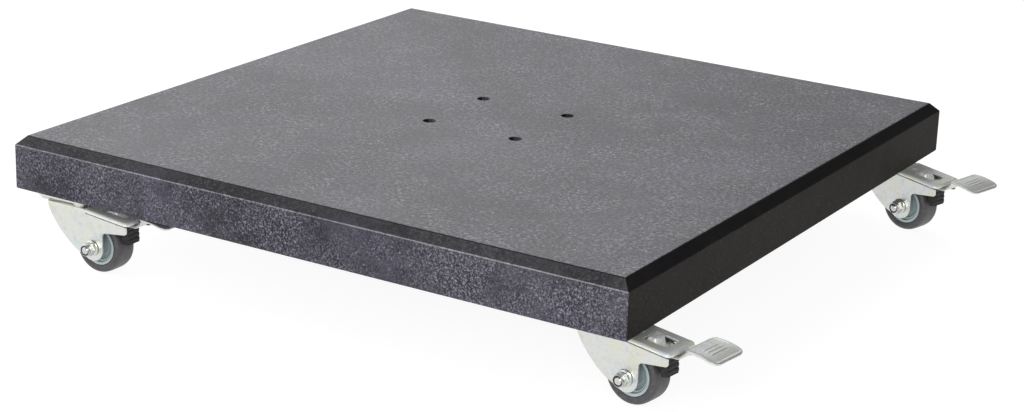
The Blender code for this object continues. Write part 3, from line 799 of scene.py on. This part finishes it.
# ---- Wheels -------------------------------------------------------------------------------------
# The hub is moulded in pale blue-grey plastic, with a long boss, a stepped web and a rim; the web and a
# groove by the rim carry a darker copy of the plastic as painted shade.
# The tread is cast on to it in dark grey polyurethane, slightly crowned, with a fine mould line.
def hub_plastic(name, dark, light):
    """Blue-grey polypropylene with flow marks and a little grime."""
    made, tree, shader = finish(name, 0.45)
    flow = noise(tree, 7 * MM, 3.0, 0.5, 0.6)
    speck = noise(tree, 0.8 * MM, 2.0)
    tint = mixed(tree, flow, dark, light)
    grime = between(tree, noise(tree, 4 * MM, 4.0, 0.65), 0.55, 0.75, 0.0, 0.4)
    plug(tree, shader.inputs["Base Color"], mixed(tree, grime, tint, (0.20, 0.22, 0.21)))
    plug(tree, shader.inputs["Roughness"], between(tree, speck, 0.3, 0.7, 0.34, 0.5))
    plug(tree, shader.inputs["Normal"], bumped(tree, speck, 0.02 * MM))
    return made


def cast_tread():
    """Dark grey polyurethane: satin, faintly streaked round the wheel, with dust in its pores."""
    made, tree, shader = finish("cast_tread", 0.45)
    streak = noise(tree, 5 * MM, 4.0, 0.6, 1.0)
    pores = noise(tree, 0.7 * MM, 3.0, 0.6)
    tint = mixed(tree, between(tree, streak, 0.35, 0.65), (0.050, 0.046, 0.050), (0.085, 0.080, 0.085))
    dust = between(tree, pores, 0.60, 0.80, 0.0, 0.35)
    plug(tree, shader.inputs["Base Color"], mixed(tree, dust, tint, (0.16, 0.155, 0.15)))
    plug(tree, shader.inputs["Roughness"], between(
        tree, sums(tree, "ADD", streak, pores), 0.7, 1.3, 0.38, 0.55))
    plug(tree, shader.inputs["Normal"], bumped(tree, pores, 0.03 * MM, bumped(tree, streak, 0.1 * MM)))
    return made


HUB_RIM = hub_plastic("moulded_hub_rim", (0.34, 0.42, 0.43), (0.46, 0.54, 0.54))
# A darker copy of the same plastic: painted shade for the hub's sunken web and groove.
HUB_WEB_SHADE = hub_plastic("hub_web_painted_shade", (0.22, 0.27, 0.28), (0.32, 0.38, 0.385))
TREAD = cast_tread()


def both_sides(section):
    """A wheel section given from bore to rim on its near side, closed with its far side."""
    return section + [(radius, -height) for radius, height in reversed(section)]


# Each section runs from its bore to its rim as radius and half width, in millimetres.
hub_section = [
    (6.3, 17.6), (6.7, 18), (9.1, 18), (9.5, 17.6), (9.9, 11), (10.4, 7.6), (13.2, 7.2), (13.5, 8.1),
    (14.6, 8.1), (14.9, 7.2), (15.4, 7.2), (15.7, 9.0), (16.1, 9.5), (17.5, 10.1), (17.7, 9.4),
    (18.1, 9.4), (18.3, 11.6), (18.6, 12.0), (21.0, 12.3), (21.4, 11.9)]
hub = turned(eased(millimetres(both_sides(hub_section)), 0.2 * MM), 96)
# Faces in the web and in the groove by the rim take the darker copy, as painted shade.
for face in hub.faces:
    reach = face.calc_center_median().xy.length
    in_web = 9.6 * MM < reach < 15.8 * MM
    in_groove = 17.6 * MM < reach < 18.2 * MM
    face.material_index = int(in_web or in_groove)
tread_section = [
    (21.7, 11.6), (22.1, 12.3), (24.4, 13.1), (26.3, 13.5), (27.9, 13.1), (29.1, 11.9), (29.8, 10.1),
    (30.1, 7.6), (30.16, 4), (30.1, 0.5), (30.2, 0.2)]
tread = turned(eased(millimetres(both_sides(tread_section)), 0.5 * MM), 128)
for corner in CORNERS:
    body = f"{corner}_wheel"
    set_down(
        hub, f"{corner}_hub", [HUB_RIM, HUB_WEB_SHADE], body, [f"{corner}_wheel_hub"],
        axle_place(corner), 30)
    set_down(
        tread, f"{corner}_tread", [TREAD], body, [f"{corner}_wheel_tyre"],
        axle_place(corner), 35)


# ---- Brake pedals -------------------------------------------------------------------------------
# A pressed steel lever under the cover, rising into a broad toe with a raised border and grip ribs.
# A barrel round its pin and a knurled rocker, which shows in the cover's window, are welded to it.
PEDAL_REAR, PEDAL_TOE, PEDAL_SHEET = 63 * MM, 140 * MM, 2.2 * MM
NECK_HALF, TOE_SPREAD = 10 * MM, 15 * MM
TOE_ROUND_FROM, TOE_ROUND_LONG, TOE_ROUND_WIDE = 131 * MM, 9 * MM, 8 * MM
NECK_HEIGHT, TOE_RISE = -22 * MM, 16.5 * MM
PANEL_SUNK, RIB_HEIGHT, RIB_PITCH = 0.55 * MM, 0.5 * MM, 4.5 * MM


def ramp(value, start, end):
    """Nought before start, one after end, and a smooth change between."""
    t = min(max((value - start) / (end - start), 0), 1)
    return t * t * (3 - 2 * t)


def pedal_half_width(along):
    """The lever is narrow where it leaves the cover and flares to the toe."""
    corner = min(max((along - TOE_ROUND_FROM) / TOE_ROUND_LONG, 0), 1)
    rounding = TOE_ROUND_WIDE * (1 - math.sqrt(max(1 - corner * corner, 0)))
    return NECK_HALF + TOE_SPREAD * ramp(along, 93 * MM, 109 * MM) - rounding


def pedal_height(along, across):
    """Height of the sheet's middle, with the toe's border and its grip ribs."""
    toe = max(along - 110 * MM, 0)
    height = NECK_HEIGHT + TOE_RISE * ramp(along, 86 * MM, 106 * MM) - toe * toe / (160 * MM)
    to_edge = min(pedal_half_width(along) - abs(across), PEDAL_TOE - along)
    panel = ramp(to_edge, 2.6 * MM, 4.2 * MM) * ramp(along, 103 * MM, 109 * MM)
    rib = max(math.cos((along - 121 * MM) / RIB_PITCH * 2 * math.pi), 0) ** 2
    rib *= ramp(along, 112 * MM, 114 * MM) * ramp(-along, -130 * MM, -128 * MM)
    rib *= ramp(13 * MM - abs(across), 0, 2 * MM)
    return height - PANEL_SUNK * panel + RIB_HEIGHT * rib


stations = [PEDAL_REAR + 2 * MM * i for i in range(21)]
stations += [stations[-1] + 0.75 * MM * (i + 1) for i in range(48)]
stations[-1] = PEDAL_TOE
pedal = bmesh.new()
columns = [i / 14 - 1 for i in range(29)]
pedal_rows = []
for along in stations:
    half = pedal_half_width(along)
    pedal_rows.append([
        Vector((along, share * half, pedal_height(along, share * half) + PEDAL_SHEET / 2))
        for share in columns])
loft(pedal, pedal_rows, closed=False)
if pedal.faces[:][0].normal.z < 0:
    bmesh.ops.reverse_faces(pedal, faces=pedal.faces)
bmesh.ops.solidify(pedal, geom=pedal.faces[:], thickness=PEDAL_SHEET)
face_outwards(pedal)

barrel_section = [(2.8, 17.5), (4.2, 17.5), (4.5, 17.2), (4.5, -17.2), (4.2, -17.5), (2.8, -17.5)]
barrel = turned(eased(millimetres(barrel_section), 0.2 * MM), 40)
on_pin = Matrix.Translation(PIN) @ Matrix.Rotation(math.pi / 2, 4, "X")
bmesh.ops.transform(barrel, verts=barrel.verts, matrix=on_pin)

ROCKER_REAR, ROCKER_FRONT, ROCKER_Y = 49.6 * MM, 69 * MM, 10 * MM
ROCKER_RIM, ROCKER_RISE, ROCKER_FOOT = -20 * MM, 9.6 * MM, -21.6 * MM
KNURL_HEIGHT, WAVE_HEIGHT = 0.45, 0.7
rocker = bmesh.new()
rocker_rows = []
for i in range(41):
    along = ROCKER_REAR + (ROCKER_FRONT - ROCKER_REAR) * i / 40
    row = []
    for j in range(37):
        across = ROCKER_Y * (j / 18 - 1)
        to_side = ramp(ROCKER_Y - abs(across), -0.6 * MM, 3 * MM)
        brow = 66 * MM - 5 * MM * (across / ROCKER_Y) ** 2
        crown = to_side * ramp(along, 48.4 * MM, 51.4 * MM) * (1 - 0.9 * ramp(along, brow - 5 * MM, brow))
        knurl = math.sin((along + across) / MM * 1.9) * math.sin((along - across) / MM * 1.9)
        wave = 0.5 * math.sin(along / MM * 0.9 + 0.7) * math.cos(across / MM * 0.55)
        relief = (KNURL_HEIGHT * knurl + WAVE_HEIGHT * wave) * MM
        row.append(Vector((along, across, ROCKER_RIM + ROCKER_RISE * crown + relief * crown)))
    rocker_rows.append(row)
loft(rocker, rocker_rows, closed=False)
rim = [edge for edge in rocker.edges if edge.is_boundary]
grown = bmesh.ops.extrude_edge_only(rocker, edges=rim)["geom"]
for vert in [item for item in grown if isinstance(item, bmesh.types.BMVert)]:
    vert.co.z = ROCKER_FOOT
bmesh.ops.contextual_create(rocker, geom=[edge for edge in rocker.edges if edge.is_boundary])
face_outwards(rocker)

for corner in CORNERS:
    body = f"{corner}_brake"
    toe = set_down(
        pedal, f"{corner}_pedal", [ZINC_PEDAL], body, [f"{corner}_brake_pedal"],
        castor_place(corner), 180)
    smooth = toe.modifiers.new("Pressed edges", "SUBSURF")
    smooth.levels = smooth.render_levels = 1
    toe.modifiers.move(1, 0)
    set_down(
        barrel, f"{corner}_pedal_barrel", [ZINC], body, (), castor_place(corner), 30)
    set_down(
        rocker, f"{corner}_rocker", [ZINC_ROCKER_LIT], body, (), castor_place(corner), 60)


# ---- Brake blocks -------------------------------------------------------------------------------
# A block of black rubber bonded under the pedal, its working face hollowed to the tread.
# Its front is moulded with level ribs.
def brake_rubber():
    """Black rubber, matt, with a dusty bloom."""
    made, tree, shader = finish("moulded_rubber", 0.35)
    bloom = noise(tree, 4 * MM, 4.0, 0.6)
    grain = noise(tree, 0.5 * MM, 2.0)
    plug(tree, shader.inputs["Base Color"], mixed(
        tree, between(tree, bloom, 0.45, 0.75), (0.012, 0.011, 0.011), (0.035, 0.033, 0.031)))
    plug(tree, shader.inputs["Roughness"], between(tree, grain, 0.3, 0.7, 0.5, 0.75))
    plug(tree, shader.inputs["Normal"], bumped(tree, grain, 0.04 * MM))
    return made


RUBBER = brake_rubber()
SHOE_HALF_WIDTH = 9 * MM
SHOE_TOP, SHOE_FRONT, SHOE_LOW = -23.6, 76.5, -44
HOLLOW_R = 33.2 * MM
shoe_outline = [(66, SHOE_TOP), (SHOE_FRONT, SHOE_TOP)]
for rib_top in (-27.2, -32.2, -37.2, -42.2):
    front = SHOE_FRONT + (SHOE_TOP - rib_top) / 20.4
    shoe_outline += [
        (front, rib_top), (front - 0.7, rib_top - 0.5), (front - 0.6, rib_top - 1.4),
        (front + 0.1, rib_top - 1.9)]
shoe_outline = [point for point in shoe_outline if point[1] > SHOE_LOW]
shoe_outline += [(77.4, SHOE_LOW), (70, -45.5)]
shoe_outline = millimetres(shoe_outline) + arc((AXLE.x, AXLE.z), HOLLOW_R, 14, 30, 8)
shoe = bmesh.new()
shoe_side = [Vector((along, -SHOE_HALF_WIDTH, up)) for along, up in shoe_outline]
block(shoe, shoe_side, Vector((0, 2 * SHOE_HALF_WIDTH, 0)), 0.3 * MM)
for corner in CORNERS:
    set_down(
        shoe, f"{corner}_block", [RUBBER], f"{corner}_brake", [f"{corner}_brake_shoe"],
        castor_place(corner), 40)


# ---- Studio -------------------------------------------------------------------------------------
# A wide white floor that glows by itself, so that shadows stay faint, under a soft overhead light.
# A broad light in front fills the near side, and a sky that brightens to -X gives the top its sheen.
def floor_paint():
    """Matt white paper, evenly lit from behind."""
    made, tree, shader = finish("white_floor", 0.0)
    shader.inputs["Base Color"].default_value = (0.2, 0.2, 0.2, 1)
    shader.inputs["Roughness"].default_value = 1.0
    shader.inputs["Emission Color"].default_value = (1, 1, 1, 1)
    shader.inputs["Emission Strength"].default_value = 0.91
    return made


floor_shape = bmesh.new()
bmesh.ops.create_grid(floor_shape, x_segments=2, y_segments=2, size=30)
bmesh.ops.translate(floor_shape, verts=floor_shape.verts, vec=(0, 0, cad_low.z - 0.3 * MM))
floor_mesh = bpy.data.meshes.new("floor")
floor_shape.to_mesh(floor_mesh)
floor_mesh.materials.append(floor_paint())
floor = bpy.data.objects.new("floor", floor_mesh)
bpy.context.scene.collection.objects.link(floor)

world = bpy.data.worlds.new("studio")
world.use_nodes = True
bpy.context.scene.world = world
sky = world.node_tree
direction = sky.nodes.new("ShaderNodeTexCoord").outputs["Generated"]
BRIGHT_SIDE = Vector((-1, 0.05, 0)).normalized()
toward = add(sky, "VectorMath", {0: direction, 1: BRIGHT_SIDE}, operation="DOT_PRODUCT")
level = between(sky, toward.outputs["Value"], 0.10, 0.72, 0.20, 1.74)
plug(sky, sky.nodes["Background"].inputs["Strength"], level)
sky.nodes["Background"].inputs["Color"].default_value = (0.98, 0.985, 1.0, 1)


def soft_light(name, spot, aim, width, depth, power):
    """A rectangular soft box aimed at a point, not seen by the camera itself."""
    data = bpy.data.lights.new(name, "AREA")
    data.shape = "RECTANGLE"
    data.size, data.size_y = width, depth
    data.energy = power
    lamp = bpy.data.objects.new(name, data)
    lamp.location = spot
    lamp.rotation_mode = "QUATERNION"
    lamp.rotation_quaternion = (Vector(aim) - Vector(spot)).to_track_quat("-Z", "Y")
    lamp.visible_camera = False
    bpy.context.scene.collection.objects.link(lamp)
    return lamp


soft_light("overhead", (-0.85, 0.75, 1.5), (-0.1, 0.1, 0), width=2.0, depth=1.7, power=11)
soft_light("front", (1.2, -2.6, 1.0), (0.2, -0.3, -0.05), width=2.2, depth=1.4, power=38)

AROUND, ABOVE, TILT = math.radians(31.13), math.radians(18.53), math.radians(1.94)
AIM = Vector((0.0314, -0.0172, -0.0926))
DISTANCE = 2.622
view_data = bpy.data.cameras.new("camera")
view_data.sensor_width = 36
view_data.lens = 82.46
camera = bpy.data.objects.new("camera", view_data)
backward = Vector((
    math.sin(AROUND) * math.cos(ABOVE), -math.cos(AROUND) * math.cos(ABOVE), math.sin(ABOVE)))
level_right = Vector((math.cos(AROUND), math.sin(AROUND), 0))
level_up = backward.cross(level_right)
right = math.cos(TILT) * level_right + math.sin(TILT) * level_up
up = math.cos(TILT) * level_up - math.sin(TILT) * level_right
turned_to_view = Matrix((right, up, backward)).transposed().to_4x4()
camera.matrix_world = Matrix.Translation(AIM + DISTANCE * backward) @ turned_to_view
bpy.context.scene.collection.objects.link(camera)
bpy.context.scene.camera = camera
bpy.context.scene.view_settings.view_transform = "Standard"
